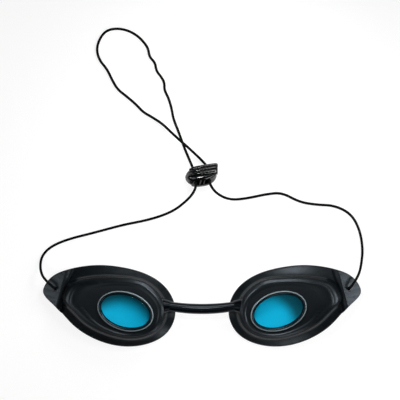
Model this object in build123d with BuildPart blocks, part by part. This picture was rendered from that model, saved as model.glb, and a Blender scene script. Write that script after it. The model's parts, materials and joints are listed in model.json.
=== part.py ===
"""Tanning goggles: two soft eye cups with oval tinted lenses, joined by a round
flexible nose bar, and held by one thin elastic cord that runs through a
sprung two-hole cord lock.

Lengths are millimetres. X runs from cup to cup, Y up the face, and Z away
from the wearer. The goggles lie on their rims on the plane Z = 0, with the
origin under the middle of cups and bar. Left and right are as seen from the
front.
"""
from math import asin, cos, degrees, pi, radians, sin, sqrt, tan
import os

from build123d import *

os.makedirs("parts", exist_ok=True)

# Driving dimensions
overrun = 6.0  # every cut runs past its material by this

lens_spacing = 63.9  # between the lens centres, an adult pupillary distance
lens_drop = 1.75  # the lens centres lie below the middle of the cup's height

# Eye cup, seen from the front
cup_length = 55.4
cup_height = 34.5
plateau_length = 40.0
plateau_height = 24.0

# Eye cup, from the rim forwards
rim_edge = 0.9  # upright edge where the rim meets the face
foot_height = 3.3  # the sloping band ends here, at the foot of the step
crest_height = 10.8  # top of the step, the edge of the plateau
dish_height = 10.0  # the plateau dips to this round the lens
wall = 1.3
floor_wall = 1.3  # thickness of the plateau

# Tab that holds the cord, at the temple end
tab_underside = 3.4  # at the fold
tab_thickness = 1.25
tab_slope = 14.0  # it falls towards the temple
tab_swing = 15.0  # the fold between band and tab leans outwards at its lower end
tab_wall_share = 0.49  # lens centre to the wall behind the tab, of the cup's length
tab_corner = 1.7
tab_edge_radius = 0.4
cord_hole_radius = 0.8
cord_hole_share = (0.535, 0.262)  # from the lens centre, of the cup's length and height

# Lens, its seat and the raised ring round it
lens_half_length = 10.4
lens_half_height = 6.5
lens_tilt = 17.0  # the long axis rises towards the temple
lens_gap = 0.35  # open joint between lens and ring
lens_flange = 1.2  # the hidden flange is wider than the face by this
lens_flange_thickness = 1.3
lens_face_thickness = 1.2
lens_edge_radius = 0.35
seat_clearance = 0.05
ring_width = 1.25
ring_height = 1.25
ring_edge_radius = 0.45
seat_wall = 1.2
seat_skirt = 0.6  # the seat's wall runs past the flange by this

# Nose bar and its sockets
bridge_radius = 2.1
bridge_height = 6.0  # centre line above the rims
bridge_mid_drop = 1.05  # the bar's middle lies below the middle of the cups
bridge_arc_radius = 85.0
bridge_half_arc = 12.0
bridge_plug = 5.4
socket_clearance = 0.05
socket_wall = 0.8
socket_mouth = 1.5  # the bar's arc ends this far outside the socket's mouth
socket_end_wall = 1.2
bridge_end_chamfer = 0.4

# Elastic cord and its stop knots
cord_radius = 0.5
cord_rest = 0.55  # centre line above the ground
knot_radius = 1.35
knot_round = 0.9
knot_height = 2.1
knot_clearance = 0.05
knot_tail = 1.6
cord_lift = 1.5  # the cord turns this far above the tab
cord_lead = 2.5  # it runs this far inside the lock, each side of its middle
cord_out = 5.2  # it leaves the exit face with its first bend here
cord_slack = 0.05  # it wanders this much inside its hole

# Cord lock
lock_x = -0.2
lock_y = 54.7
lock_swing = 9.0  # its long axis rises to the right
lock_roll = 42.0  # it lies rolled, with its exit face turned up
lock_length = 13.7
lock_depth = 7.6  # along the cords
lock_height = 8.2
lock_corner = 2.7
lock_end_radius = 1.0
lock_heel_radius = 3.0  # the far end is rounded off below, like a bean
hole_spacing = 5.8
hole_radius = 0.8
hole_clearance = 0.05
plunger_travel = 1.2
mouth_lip = 0.15  # the button's inner end sits this far inside the mouth
mouth_wall = 0.5
pinch_bar = 0.7
end_bar = 0.9
end_clearance = 0.15
cavity_depth = 4.4
cavity_height = 5.4
shank_clearance = 0.2
rail_thickness = 0.95
button_clearance = 0.15
button_edge_radius = 1.9
window_height = 3.0
window_rib = 0.5
window_rib_spacing = 1.7
window_rib_count = 2
window_rib_slant = 20.0
window_rib_depth = 0.9
window_rib_recess = 0.25
ridge_count = 3
ridge_pitch = 1.75
ridge_radius = 0.6
ridge_rise = 0.35

# Spring between the two cords
spring_radius = 1.15  # to the middle of the wire
spring_wire_radius = 0.2
spring_quarters = 10  # quarter turns from end to end
spring_seat_gap = 0.02
spring_steps = 24  # points on each quarter turn where its gap is measured

# Outlines round the lens centre, as shares of the length and height they
# follow: first the tip at the temple, then over the top to the nose and back
cup_outline_shares = [
    (0.627, 0.267),
    (0.563, 0.409),
    (0.398, 0.514),
    (0.2175, 0.549),
    (0.018, 0.519),
    (-0.171, 0.426),
    (-0.314, 0.249),
    (-0.3745, -0.035),
    (-0.314, -0.272),
    (-0.153, -0.419),
    (0.037, -0.4435),
    (0.2175, -0.370),
    (0.398, -0.193),
    (0.560, 0.081),
]
plateau_outline_shares = [
    (0.598, 0.229),
    (0.545, 0.4125),
    (0.4125, 0.508),
    (0.225, 0.542),
    (0.025, 0.542),
    (-0.170, 0.492),
    (-0.320, 0.308),
    (-0.395, 0.021),
    (-0.345, -0.2625),
    (-0.175, -0.433),
    (0.0375, -0.442),
    (0.2375, -0.342),
    (0.405, -0.192),
    (0.545, 0.025),
]

# The cup's profile from rim to crest. Each row gives the way from the cup's
# outline to the plateau's, the way from the lower height to the upper one, and
# how much of the wall's thickness goes sideways and downwards there.
band_profile_shares = [
    (0.00, 0.00, 1.00, 0.00),
    (0.05, 0.12, 0.85, 0.50),
    (0.28, 0.45, 0.55, 0.83),
    (0.54, 0.82, 0.55, 0.83),
    (0.67, 1.06, 0.75, 0.65),
]
step_profile_shares = [
    (0.78, 0.34, 0.92, 0.40),
    (0.89, 0.70, 0.92, 0.40),
]
# The rounded crest and the dish inside it: the way from the plateau's outline
# to the ring's, and the height below the crest as a share of the dish's depth
crest_profile_shares = [
    (0.00, 0.95),
    (0.07, 0.40),
    (0.16, 0.08),
    (0.27, 0.00),
    (0.50, 0.35),
    (0.75, 0.80),
    (0.96, 1.00),
]

# Sizes that follow from those above
crest_dip = crest_height - dish_height
lens_x = lens_spacing / 2
lens_y = -lens_drop
ring_half_length = lens_half_length + lens_gap + ring_width
ring_half_height = lens_half_height + lens_gap + ring_width
tab_top = tab_underside + tab_thickness
tab_wall = cup_length * tab_wall_share
corner = tab_wall + tab_corner
tip = cup_length
cord_hole_x = lens_x + cup_length * cord_hole_share[0]
cord_hole_y = lens_y + cup_height * cord_hole_share[1]
lens_shelf = dish_height - lens_gap
lens_back = lens_shelf - lens_flange_thickness
tab_way = Vector(cos(radians(tab_swing)), sin(radians(tab_swing)), 0)
cord_hole = tab_way.dot(Vector(cord_hole_x - lens_x, cord_hole_y - lens_y, 0))


def tab_fall(along):
    """How far the tab has fallen at some way from the lens centre."""
    return (along - corner) * tan(radians(tab_slope))


knot_top = tab_underside - tab_fall(cord_hole + knot_radius) - knot_clearance
knot_base = knot_top - knot_height


def scaled(shares, length, height):
    """Points of an outline round the lens centre."""
    return [(along * length, up * height) for along, up in shares]


def ring_points(outline):
    """Points of the oval ring round the lens, one on the line to each outline point."""
    points = []
    for x, y in outline:
        away = Vector(x, y).normalized()
        along = away.X * cos(radians(lens_tilt)) + away.Y * sin(radians(lens_tilt))
        across = away.Y * cos(radians(lens_tilt)) - away.X * sin(radians(lens_tilt))
        reach = ((along / ring_half_length) ** 2 + (across / ring_half_height) ** 2) ** -0.5
        points.append((away.X * reach, away.Y * reach))
    return points


def between(outer, inner, share):
    """Outline part of the way from one outline to another."""
    return [
        (a[0] + (b[0] - a[0]) * share, a[1] + (b[1] - a[1]) * share)
        for a, b in zip(outer, inner)
    ]


def drawn_in(outline, inset):
    """Outline moved inwards, square to itself."""
    moved = []
    for index, (x, y) in enumerate(outline):
        before = outline[index - 1]
        after = outline[(index + 1) % len(outline)]
        run = Vector(after[0] - before[0], after[1] - before[1]).normalized()
        moved.append((x - run.Y * inset, y + run.X * inset))
    return moved


def outline_stations(outline):
    """Way round a closed outline at each of its points, as shares of the whole way."""
    runs = [
        (Vector(*end) - Vector(*start)).length
        for start, end in zip(outline, outline[1:] + outline[:1])
    ]
    return [sum(runs[:count]) / sum(runs) for count in range(len(runs) + 1)]


def outline_face(outline, height):
    """Level face inside a smooth closed outline round the lens centre.

    Every outline passes its points at the same stations, so that the form
    between two of them stays smooth.
    """
    curve = Edge.make_spline(
        [Vector(*point) for point in outline],
        periodic=True,
        parameters=outline_stations(cup_outline),
    )
    with BuildSketch(Plane((lens_x, lens_y, height))) as level:
        with BuildLine():
            add(curve)
        make_face()
    return level.sketch


cup_outline = scaled(cup_outline_shares, cup_length, cup_height)
plateau_outline = scaled(plateau_outline_shares, plateau_length, plateau_height)
ring_outline = ring_points(plateau_outline)


def step_levels(top):
    """Levels of the band and the step: outline, height and wall directions."""
    levels = []
    for way, rise, side, down in band_profile_shares:
        outline = between(cup_outline, plateau_outline, way)
        height = rim_edge + (foot_height - rim_edge) * rise
        levels.append((outline, height, side, down))
    for way, rise, side, down in step_profile_shares:
        outline = between(cup_outline, plateau_outline, way)
        levels.append((outline, foot_height + (top - foot_height) * rise, side, down))
    return levels


# Shared lines
# The bar's end and its socket share one line, sloping up from the bar's arc.
bridge_slope = degrees(asin(bridge_half_arc / bridge_arc_radius))
bridge_mid_y = -bridge_mid_drop
bridge_end_rise = bridge_arc_radius * (1 - cos(radians(bridge_slope)))
plug_start = Vector(bridge_half_arc, bridge_mid_y + bridge_end_rise, bridge_height)
plug_way = Vector(cos(radians(bridge_slope)), sin(radians(bridge_slope)), 0)
mouth_plane = Plane(plug_start + plug_way * socket_mouth, z_dir=plug_way)
socket_radius = bridge_radius + socket_clearance
socket_depth = bridge_plug - socket_mouth + socket_clearance
tab_side = Plane((lens_x, lens_y, 0), x_dir=tab_way, z_dir=(tab_way.Y, -tab_way.X, 0))
tab_fold = tab_wall - tab_thickness
seat_half_length = lens_half_length + lens_flange + seat_clearance
seat_half_height = lens_half_height + lens_flange + seat_clearance
seat_bottom = lens_back - seat_skirt


# Tab at the temple end of the right cup
with BuildPart() as tab_outline:
    add(outline_face(cup_outline, 0))
    extrude(amount=tab_top)

with BuildPart() as tab_plate:
    # The wall behind the knot turns outwards into the flat tab
    with BuildSketch(tab_side):
        with BuildLine():
            inner = Line((tab_wall, 0), (tab_wall, tab_underside - tab_corner))
            turn = TangentArc(inner @ 1, (corner, tab_underside), tangent=inner % 1)
            under = Line(turn @ 1, (tip, tab_underside - tab_fall(tip)))
            end = Line(under @ 1, (tip, tab_top - tab_fall(tip)))
            over = Line(end @ 1, (corner, tab_top))
            fold = TangentArc(over @ 1, (tab_fold, tab_underside - tab_corner), tangent=(-1, 0))
            outer = Line(fold @ 1, (tab_fold, 0))
            Line(outer @ 1, inner @ 0)
        make_face()
    extrude(amount=cup_height, both=True)
    add(tab_outline.part, mode=Mode.INTERSECT)
    tab_face = tab_plate.faces().filter_by(GeomType.PLANE).sort_by(Axis.Z)[-1]
    tab_rim = tab_face.edges().filter_by(GeomType.LINE, reverse=True)
    fillet(tab_rim, radius=tab_edge_radius)

with BuildPart() as tab_room:
    # Open space under the tab, where the cord's knot sits
    with BuildSketch(tab_side):
        with BuildLine():
            inner = Line((tab_wall, -overrun), (tab_wall, tab_underside - tab_corner))
            turn = TangentArc(inner @ 1, (corner, tab_underside), tangent=inner % 1)
            low = (tip, tab_underside - tab_fall(tip))
            Polyline(turn @ 1, low, (tip, -overrun), inner @ 0)
        make_face()
    extrude(amount=cup_height, both=True)


# Hollow over the eye, a wall's thickness inside the cup's form
ceiling_height = dish_height - floor_wall
with BuildPart() as eye_hollow:
    add(outline_face(drawn_in(cup_outline, wall), 0))
    for outline, height, side, down in step_levels(crest_height)[1:]:
        add(outline_face(drawn_in(outline, wall * side), height - wall * down))
    add(outline_face(drawn_in(plateau_outline, wall), ceiling_height))
    loft()
    extrude(outline_face(drawn_in(cup_outline, wall), 0), amount=-overrun)
    with BuildSketch(tab_side):
        with Locations((tab_fold, -overrun)):
            Rectangle(cup_length, crest_height + 2 * overrun, align=Align.MIN)
    extrude(amount=cup_height, both=True, mode=Mode.SUBTRACT)

# Raised ring round the lens opening
with BuildPart() as lens_ring:
    with BuildSketch(Plane((lens_x, lens_y, lens_shelf))):
        Ellipse(ring_half_length, ring_half_height, rotation=lens_tilt)
        opening_length = lens_half_length + lens_gap
        opening_height = lens_half_height + lens_gap
        Ellipse(opening_length, opening_height, rotation=lens_tilt, mode=Mode.SUBTRACT)
    extrude(amount=dish_height + ring_height - lens_shelf)
    fillet(lens_ring.edges().group_by(Axis.Z)[-1], radius=ring_edge_radius)

# Eye cup
with BuildPart() as eye_cup_right:
    # Rim edge, then band, step and dished plateau in one smooth form
    add(outline_face(cup_outline, 0))
    extrude(amount=rim_edge)
    for outline, height, side, down in step_levels(crest_height):
        add(outline_face(outline, height))
    for way, dip in crest_profile_shares:
        outline = between(plateau_outline, ring_outline, way)
        add(outline_face(outline, crest_height - crest_dip * dip))
    loft()
    add(tab_room.part, mode=Mode.SUBTRACT)
    with BuildSketch(tab_side):
        with BuildLine():
            fallen = (tip, tab_top - tab_fall(tip))
            Polyline((corner, tab_top), fallen, (tip, crest_height), (corner, crest_height), close=True)
        make_face()
    extrude(amount=cup_height, both=True, mode=Mode.SUBTRACT)
    add(tab_plate.part)
    add(eye_hollow.part, mode=Mode.SUBTRACT)
    # Wall of the lens seat and the raised ring in front of it
    with BuildSketch(Plane((lens_x, lens_y, seat_bottom))):
        seat_outer_length = seat_half_length + seat_wall
        Ellipse(seat_outer_length, seat_half_height + seat_wall, rotation=lens_tilt)
    extrude(amount=dish_height - seat_bottom)
    add(lens_ring.part)
    # Socket for the nose bar
    with BuildSketch(mouth_plane):
        Circle(socket_radius + socket_wall)
    extrude(amount=socket_depth + socket_end_wall)
    with BuildSketch(mouth_plane):
        Circle(socket_radius)
    extrude(amount=socket_depth, mode=Mode.SUBTRACT)
    # Opening and seat for the lens
    with BuildSketch(Plane((lens_x, lens_y, lens_shelf - overrun))):
        Ellipse(opening_length, opening_height, rotation=lens_tilt)
    extrude(amount=2 * overrun, mode=Mode.SUBTRACT)
    with BuildSketch(Plane((lens_x, lens_y, lens_shelf))):
        Ellipse(seat_half_length, seat_half_height, rotation=lens_tilt)
    extrude(amount=-overrun, mode=Mode.SUBTRACT)
    # Hole for the cord
    with BuildSketch(Plane.XY.offset(knot_top - overrun)):
        with Locations((cord_hole_x, cord_hole_y)):
            Circle(cord_hole_radius)
    extrude(amount=2 * overrun, mode=Mode.SUBTRACT)

with BuildPart() as eye_cup_left:
    mirror(eye_cup_right.part, about=Plane.YZ)

# Lens
with BuildPart() as lens_right:
    with BuildSketch(Plane((lens_x, lens_y, lens_back))):
        flange_length = lens_half_length + lens_flange
        Ellipse(flange_length, lens_half_height + lens_flange, rotation=lens_tilt)
    extrude(amount=lens_flange_thickness)
    with BuildSketch(Plane((lens_x, lens_y, lens_shelf))):
        Ellipse(lens_half_length, lens_half_height, rotation=lens_tilt)
    extrude(amount=lens_face_thickness)
    fillet(lens_right.edges().group_by(Axis.Z)[-1], radius=lens_edge_radius)

with BuildPart() as lens_left:
    mirror(lens_right.part, about=Plane.YZ)

# Nose bar
with BuildPart() as nose_bridge:
    with BuildLine() as bar_line:
        plug_left = Vector(-plug_start.X, plug_start.Y, plug_start.Z)
        bar_arc = ThreePointArc(plug_left, (0, bridge_mid_y, bridge_height), plug_start)
        Line(bar_arc @ 0, bar_arc @ 0 - (bar_arc % 0) * bridge_plug)
        Line(bar_arc @ 1, bar_arc @ 1 + (bar_arc % 1) * bridge_plug)
    bar_end = plug_left - Vector(plug_way.X, -plug_way.Y, 0) * bridge_plug
    with BuildSketch(Plane(bar_end, z_dir=(plug_way.X, -plug_way.Y, 0))):
        Circle(bridge_radius)
    sweep(path=bar_line.wires()[0])
    bar_rims = nose_bridge.faces().filter_by(GeomType.PLANE).edges()
    chamfer(bar_rims, length=bridge_end_chamfer)

# Stop knot behind the tab, with the cord's short tail
with BuildPart() as knot_right:
    with BuildSketch(Plane((cord_hole_x, cord_hole_y, knot_base))):
        Circle(knot_radius)
    extrude(amount=knot_height)
    fillet(knot_right.edges().filter_by(GeomType.CIRCLE), radius=knot_round)
    with BuildSketch(Plane((cord_hole_x, cord_hole_y, knot_top - knot_height / 2), z_dir=(0, -1, 0))):
        Circle(cord_radius)
    extrude(amount=knot_radius + knot_tail)

with BuildPart() as knot_left:
    mirror(knot_right.part, about=Plane.YZ)

# Cord lock
# It lies rolled about its long axis. Lengths along it run from the button to
# the far end, and lengths across it run along the cords and up its height.
swing = radians(lock_swing)
roll = radians(lock_roll)
lock_rest = (
    (lock_depth / 2 - lock_corner) * sin(roll)
    + (lock_height / 2 - lock_corner) * cos(roll)
    + lock_corner
)
lock_centre = (lock_x, lock_y, lock_rest)
lock_long = Vector(cos(swing), sin(swing), 0)
lock_up = Vector(-sin(swing) * sin(roll), cos(swing) * sin(roll), cos(roll))
lock_plane = Plane(lock_centre, x_dir=lock_long, z_dir=lock_up)
lock_cord = lock_plane.y_dir
button_start = -lock_length / 2
button_end = -hole_spacing / 2 - cord_radius - hole_clearance - plunger_travel
mouth = button_end - mouth_lip
mouth_depth = mouth_lip + plunger_travel + end_clearance
pinch_start = -hole_spacing / 2 + cord_radius + hole_clearance
post_end = hole_spacing / 2 - cord_radius - hole_clearance
end_bar_start = hole_spacing / 2 + cord_radius + hole_clearance
shank_end = end_bar_start + end_bar
cavity_end = shank_end + plunger_travel + end_clearance
body_end = lock_length / 2
shank_depth = cavity_depth - 2 * shank_clearance
shank_height = cavity_height - 2 * shank_clearance


def across(along):
    """Plane across the lock, its x along the cords and its y up the lock."""
    return Plane(lock_plane.from_local_coords((along, 0, 0)), x_dir=lock_cord, z_dir=lock_long)


def exit_face(depth):
    """Plane facing out of the exit side, its x along the lock and its y up it."""
    return Plane(lock_plane.from_local_coords((0, depth, 0)), x_dir=lock_long, z_dir=-lock_cord)


with BuildPart() as lock_body:
    with BuildSketch(across(mouth)):
        RectangleRounded(lock_depth, lock_height, lock_corner)
    extrude(amount=body_end - mouth)
    fillet(lock_body.faces().sort_by(Axis(lock_centre, lock_long))[-1].edges(), radius=lock_end_radius)
    with BuildSketch(exit_face(0)) as lock_side:
        with Locations((mouth, 0)):
            Rectangle(body_end - mouth, lock_height, align=(Align.MIN, Align.CENTER))
        heel = lock_side.vertices().group_by(Axis.X)[-1].sort_by(Axis.Y)[0]
        fillet(heel, radius=lock_heel_radius)
    extrude(amount=lock_depth, both=True, mode=Mode.INTERSECT)
    # Long grip ridges on the upper side
    with BuildSketch(across(mouth)):
        with Locations((0, lock_height / 2 - ridge_radius + ridge_rise)):
            with GridLocations(ridge_pitch, 0, ridge_count, 1):
                Circle(ridge_radius)
    extrude(amount=body_end - lock_end_radius - mouth)
    # Mouth that the button enters, and the cavity for its shank
    with BuildSketch(across(mouth)):
        mouth_corner = lock_corner - mouth_wall
        RectangleRounded(lock_depth - 2 * mouth_wall, lock_height - 2 * mouth_wall, mouth_corner)
    extrude(amount=mouth_depth, mode=Mode.SUBTRACT)
    with BuildSketch(across(mouth)):
        Rectangle(cavity_depth, cavity_height)
    extrude(amount=cavity_end - mouth, mode=Mode.SUBTRACT)
    # Cord holes right through, joined by the window on the exit side
    with BuildSketch(exit_face(0)):
        with GridLocations(hole_spacing, 0, 2, 1):
            Circle(hole_radius)
    extrude(amount=lock_depth, both=True, mode=Mode.SUBTRACT)
    with BuildSketch(exit_face(0)):
        SlotCenterToCenter(hole_spacing - window_height + 2 * hole_radius, window_height)
    extrude(amount=lock_depth, mode=Mode.SUBTRACT)
    with BuildSketch(exit_face(window_rib_recess - lock_depth / 2)):
        with GridLocations(window_rib_spacing, 0, window_rib_count, 1):
            Rectangle(window_rib, window_height + window_rib, rotation=-window_rib_slant)
    extrude(amount=-window_rib_depth)
    # Post between spring and right-hand cord
    with BuildSketch(across(post_end)):
        Rectangle(cavity_depth, shank_height - 2 * rail_thickness - 2 * shank_clearance)
    extrude(amount=-pinch_bar)

with BuildPart() as lock_plunger:
    # Button
    with BuildSketch(across(button_end)):
        button_gap = mouth_wall + button_clearance
        button_depth = lock_depth - 2 * button_gap
        button_height = lock_height - 2 * button_gap
        RectangleRounded(button_depth, button_height, lock_corner - button_gap)
    extrude(amount=button_start - button_end)
    fillet(lock_plunger.faces().sort_by(Axis(lock_centre, lock_long))[0].edges(), radius=button_edge_radius)
    # Two rails, the bar that pinches the left-hand cord and the end bar that
    # pinches the other
    with BuildSketch(across(button_end)):
        rail_middle = (shank_height - rail_thickness) / 2
        with GridLocations(0, 2 * rail_middle, 1, 2):
            Rectangle(shank_depth, rail_thickness)
    extrude(amount=shank_end - button_end)
    for bar_start, bar_length in ((pinch_start, pinch_bar), (end_bar_start, end_bar)):
        with BuildSketch(across(bar_start)):
            Rectangle(shank_depth, shank_height)
        extrude(amount=bar_length)

# Spring, a helix of quarter turns, each of two arcs that touch smoothly
coil_start = pinch_start + pinch_bar + spring_seat_gap
coil_end = post_end - pinch_bar - spring_seat_gap
tail_length = 2 * spring_wire_radius
winding_start = coil_start + tail_length
winding_length = coil_end - tail_length - winding_start


def lock_way(along, cord, up):
    """Unit vector given in the lock's own directions."""
    return (lock_long * along + lock_cord * cord + lock_up * up).normalized()


def coil_point(quarter):
    """Place and heading of the wire's middle after some quarter turns."""
    angle = quarter * pi / 2
    along = winding_start + winding_length * quarter / spring_quarters
    place = lock_plane.from_local_coords(
        (along, spring_radius * sin(angle), spring_radius * cos(angle))
    )
    climb = winding_length / spring_quarters / (pi / 2)
    way = lock_way(climb, spring_radius * cos(angle), -spring_radius * sin(angle))
    return place, way


def meeting_point(start, start_way, end, end_way):
    """Point where two arcs of equal reach meet smoothly between two headings."""
    chord = end - start
    ways = start_way + end_way
    spread = 2 * (1 - start_way.dot(end_way))
    lean = chord.dot(ways)
    reach = (sqrt(lean**2 + spread * chord.dot(chord)) - lean) / spread
    return (start + end + (start_way - end_way) * reach) / 2


# The wire runs straight at both ends, square to the bars that it pushes apart
spring_start = lock_plane.from_local_coords((coil_start, 0, spring_radius))
spring_end_angle = spring_quarters * pi / 2
spring_end = lock_plane.from_local_coords(
    (coil_end, spring_radius * sin(spring_end_angle), spring_radius * cos(spring_end_angle))
)
stops = [(spring_start + lock_long * tail_length, lock_long)]
stops += [coil_point(quarter) for quarter in range(1, spring_quarters)]
stops += [(spring_end - lock_long * tail_length, lock_long)]

with BuildPart() as lock_spring:
    with BuildLine() as spring_line:
        Line(spring_start, stops[0][0])
        for (start, start_way), (end, end_way) in zip(stops, stops[1:]):
            middle = meeting_point(start, start_way, end, end_way)
            TangentArc(start, middle, tangent=start_way)
            TangentArc(end, middle, tangent=-end_way)
        Line(stops[-1][0], spring_end)
    with BuildSketch(Plane(spring_start, z_dir=lock_long)):
        Circle(spring_wire_radius)
    sweep(path=spring_line.wires()[0])

# Least gap between one turn and the next, measured on points a turn apart
spring_places = [
    coil_point(step / spring_steps)[0]
    for step in range(spring_steps, spring_steps * (spring_quarters - 1) + 1)
]
turn_steps = 4 * spring_steps
least_gap = min(
    (near - far).length - 2 * spring_wire_radius
    for index, near in enumerate(spring_places)
    for far in spring_places[index + turn_steps // 2:]
)
print("spring: least gap between turns", round(least_gap, 2))

# Elastic cord, in three stretches
# Each route starts behind a tab or inside a hole of the lock, and its points
# are the corners of straight runs that long arcs join. Where the loop crosses
# itself, the upper strand lies in a low hump.
hole_left = lock_plane.from_local_coords((-hole_spacing / 2, 0, 0))
hole_right = lock_plane.from_local_coords((hole_spacing / 2, 0, 0))
cord_turn = tab_top - tab_fall(cord_hole) + cord_lift
cord_left_route = [
    (-cord_hole_x, cord_hole_y, knot_top),
    (-cord_hole_x, cord_hole_y, cord_turn),
    (-62.9, 8.6, 7.5),
    (-65.3, 10.9, 7.1),
    (-67.3, 13.2, 4.7),
    (-68.3, 16.9, 2.0),
    (-67.5, 21.1, cord_rest),
    (-63.8, 25.0, cord_rest),
    (-56.5, 28.1, cord_rest),
    (-45.5, 30.8, cord_rest),
    (-33.5, 34.1, cord_rest),
    (-23.5, 36.0, cord_rest),
    (-16.2, 38.2, cord_rest),
    (-11.0, 40.7, 1.7),
    (-7.7, 43.3, 4.4),
    (-5.3, 45.5, 6.6),
    (-3.5, 47.8, 8.6),
    hole_left - lock_cord * cord_out,
    hole_left - lock_cord * cord_lead + lock_up * cord_slack,
    hole_left,
]
cord_loop_route = [
    hole_left,
    hole_left + lock_cord * cord_lead,
    (-3.9, 58.3, 1.2),
    (-5.0, 61.3, cord_rest),
    (-6.8, 65.0, cord_rest),
    (-8.7, 69.8, cord_rest),
    (-11.1, 76.2, cord_rest),
    (-13.1, 84.0, cord_rest),
    (-15.5, 92.4, cord_rest),
    (-19.2, 99.9, cord_rest),
    (-22.4, 105.8, cord_rest),
    (-24.9, 111.7, cord_rest),
    (-30.6, 115.9, cord_rest),
    (-37.6, 117.4, cord_rest),
    (-43.2, 113.3, cord_rest),
    (-44.5, 106.3, cord_rest),
    (-40.7, 100.1, cord_rest),
    (-36.6, 92.2, cord_rest),
    (-30.0, 87.1, cord_rest),
    (-24.0, 80.7, cord_rest),
    (-17.0, 76.8, 1.0),
    (-13.2, 73.0, 3.0),
    (-9.9, 69.9, 4.6),
    (-6.0, 66.7, 4.6),
    (-2.4, 63.6, 2.7),
    (0.2, 61.3, 1.1),
    (2.1, 58.9, 1.3),
    hole_right + lock_cord * cord_lead,
    hole_right,
]
cord_right_route = [
    (cord_hole_x, cord_hole_y, knot_top),
    (cord_hole_x, cord_hole_y, cord_turn),
    (62.7, 8.8, 7.5),
    (64.6, 11.5, 7.1),
    (66.2, 14.4, 4.7),
    (67.2, 18.6, 2.0),
    (67.9, 24.0, cord_rest),
    (66.6, 31.7, cord_rest),
    (63.1, 38.6, cord_rest),
    (56.0, 42.3, cord_rest),
    (48.0, 42.6, cord_rest),
    (40.9, 43.8, cord_rest),
    (33.8, 47.7, cord_rest),
    (27.3, 47.1, cord_rest),
    (20.5, 45.6, cord_rest),
    (14.2, 44.7, 1.5),
    (10.4, 45.2, 4.0),
    (7.4, 46.6, 6.6),
    (5.0, 48.5, 8.4),
    hole_right - lock_cord * cord_out,
    hole_right - lock_cord * cord_lead + lock_up * cord_slack,
    hole_right,
]


def route_radii(route):
    """Radius of the arc at each corner, as large as the shorter run beside it allows."""
    reach_share = 0.45
    radii = []
    for before, corner, after in zip(route, route[1:], route[2:]):
        coming = Vector(corner) - Vector(before)
        going = Vector(after) - Vector(corner)
        half_turn = radians(coming.get_angle(going) / 2)
        radii.append(reach_share * min(coming.length, going.length) / tan(half_turn))
    return radii


def cord_along(route):
    """Round cord along a route, its straight runs joined by tangent arcs."""
    radii = route_radii(route)
    with BuildLine() as line:
        FilletPolyline(*route, radius=radii)
    with BuildPart() as cord:
        with BuildSketch(Plane(route[0], z_dir=Vector(route[1]) - Vector(route[0]))):
            Circle(cord_radius)
        sweep(path=line.wires()[0])
    length = line.wires()[0].length
    expected = pi * cord_radius**2 * length
    print("cord length", round(length, 1), "volume share", round(cord.part.volume / expected, 4))
    print("radii", [round(radius, 1) for radius in radii])
    return cord.part


with BuildPart() as cord_left:
    add(cord_along(cord_left_route))

with BuildPart() as cord_loop:
    add(cord_along(cord_loop_route))

with BuildPart() as cord_right:
    add(cord_along(cord_right_route))

pieces = {
    "eye_cup_left": eye_cup_left,
    "eye_cup_right": eye_cup_right,
    "lens_left": lens_left,
    "lens_right": lens_right,
    "nose_bridge": nose_bridge,
    "knot_left": knot_left,
    "knot_right": knot_right,
    "lock_body": lock_body,
    "lock_plunger": lock_plunger,
    "lock_spring": lock_spring,
    "cord_left": cord_left,
    "cord_loop": cord_loop,
    "cord_right": cord_right,
}
for name, piece in pieces.items():
    piece.part.label = name
    export_step(piece.part, f"parts/{name}.step")
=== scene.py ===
# %% [markdown]
# # Tanning goggles, dressed in Blender
#
# The object is a pair of soft black eye cups with blue oval lenses, a round
# nose bar between them, and one thin elastic cord that runs through a small
# sprung cord lock. The solids were made elsewhere and are loaded here as a
# fixed frame. This lesson adds the surfaces, the cord and the light.

# %% Load the frame
import bmesh
import bpy
import json
from math import cos, pi, radians, sin
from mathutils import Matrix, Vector

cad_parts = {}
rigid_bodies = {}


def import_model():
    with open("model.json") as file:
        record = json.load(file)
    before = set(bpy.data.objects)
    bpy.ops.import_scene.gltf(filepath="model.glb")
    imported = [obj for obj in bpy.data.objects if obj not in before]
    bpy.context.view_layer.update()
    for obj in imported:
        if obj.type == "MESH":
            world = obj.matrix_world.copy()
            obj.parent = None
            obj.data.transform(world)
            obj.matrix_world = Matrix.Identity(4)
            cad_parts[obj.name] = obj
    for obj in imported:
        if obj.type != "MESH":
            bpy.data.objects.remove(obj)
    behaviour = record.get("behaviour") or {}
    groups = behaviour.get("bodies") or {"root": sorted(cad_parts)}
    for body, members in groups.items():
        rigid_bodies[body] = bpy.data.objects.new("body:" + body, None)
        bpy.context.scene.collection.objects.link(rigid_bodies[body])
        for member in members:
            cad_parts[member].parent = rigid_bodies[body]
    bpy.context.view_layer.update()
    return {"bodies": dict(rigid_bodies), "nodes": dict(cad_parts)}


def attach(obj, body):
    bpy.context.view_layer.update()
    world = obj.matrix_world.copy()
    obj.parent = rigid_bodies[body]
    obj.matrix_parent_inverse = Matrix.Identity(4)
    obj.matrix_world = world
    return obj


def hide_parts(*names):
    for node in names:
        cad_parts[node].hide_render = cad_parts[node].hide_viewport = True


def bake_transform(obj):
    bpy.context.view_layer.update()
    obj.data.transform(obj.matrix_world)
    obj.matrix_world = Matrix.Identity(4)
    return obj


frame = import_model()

# %% [markdown]
# ## Small helpers
#
# Blender works in metres and in linear colour. People measure small things in
# millimetres and pick colours as sRGB hex values, so two helpers turn one into
# the other. A third adds a shader node with its settings and links in one
# call, which keeps each material short enough to read as a recipe.

# %% Units and colour
MM = 0.001


def metres(point):
    """A point given in millimetres."""
    return Vector(point) * MM


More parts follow.
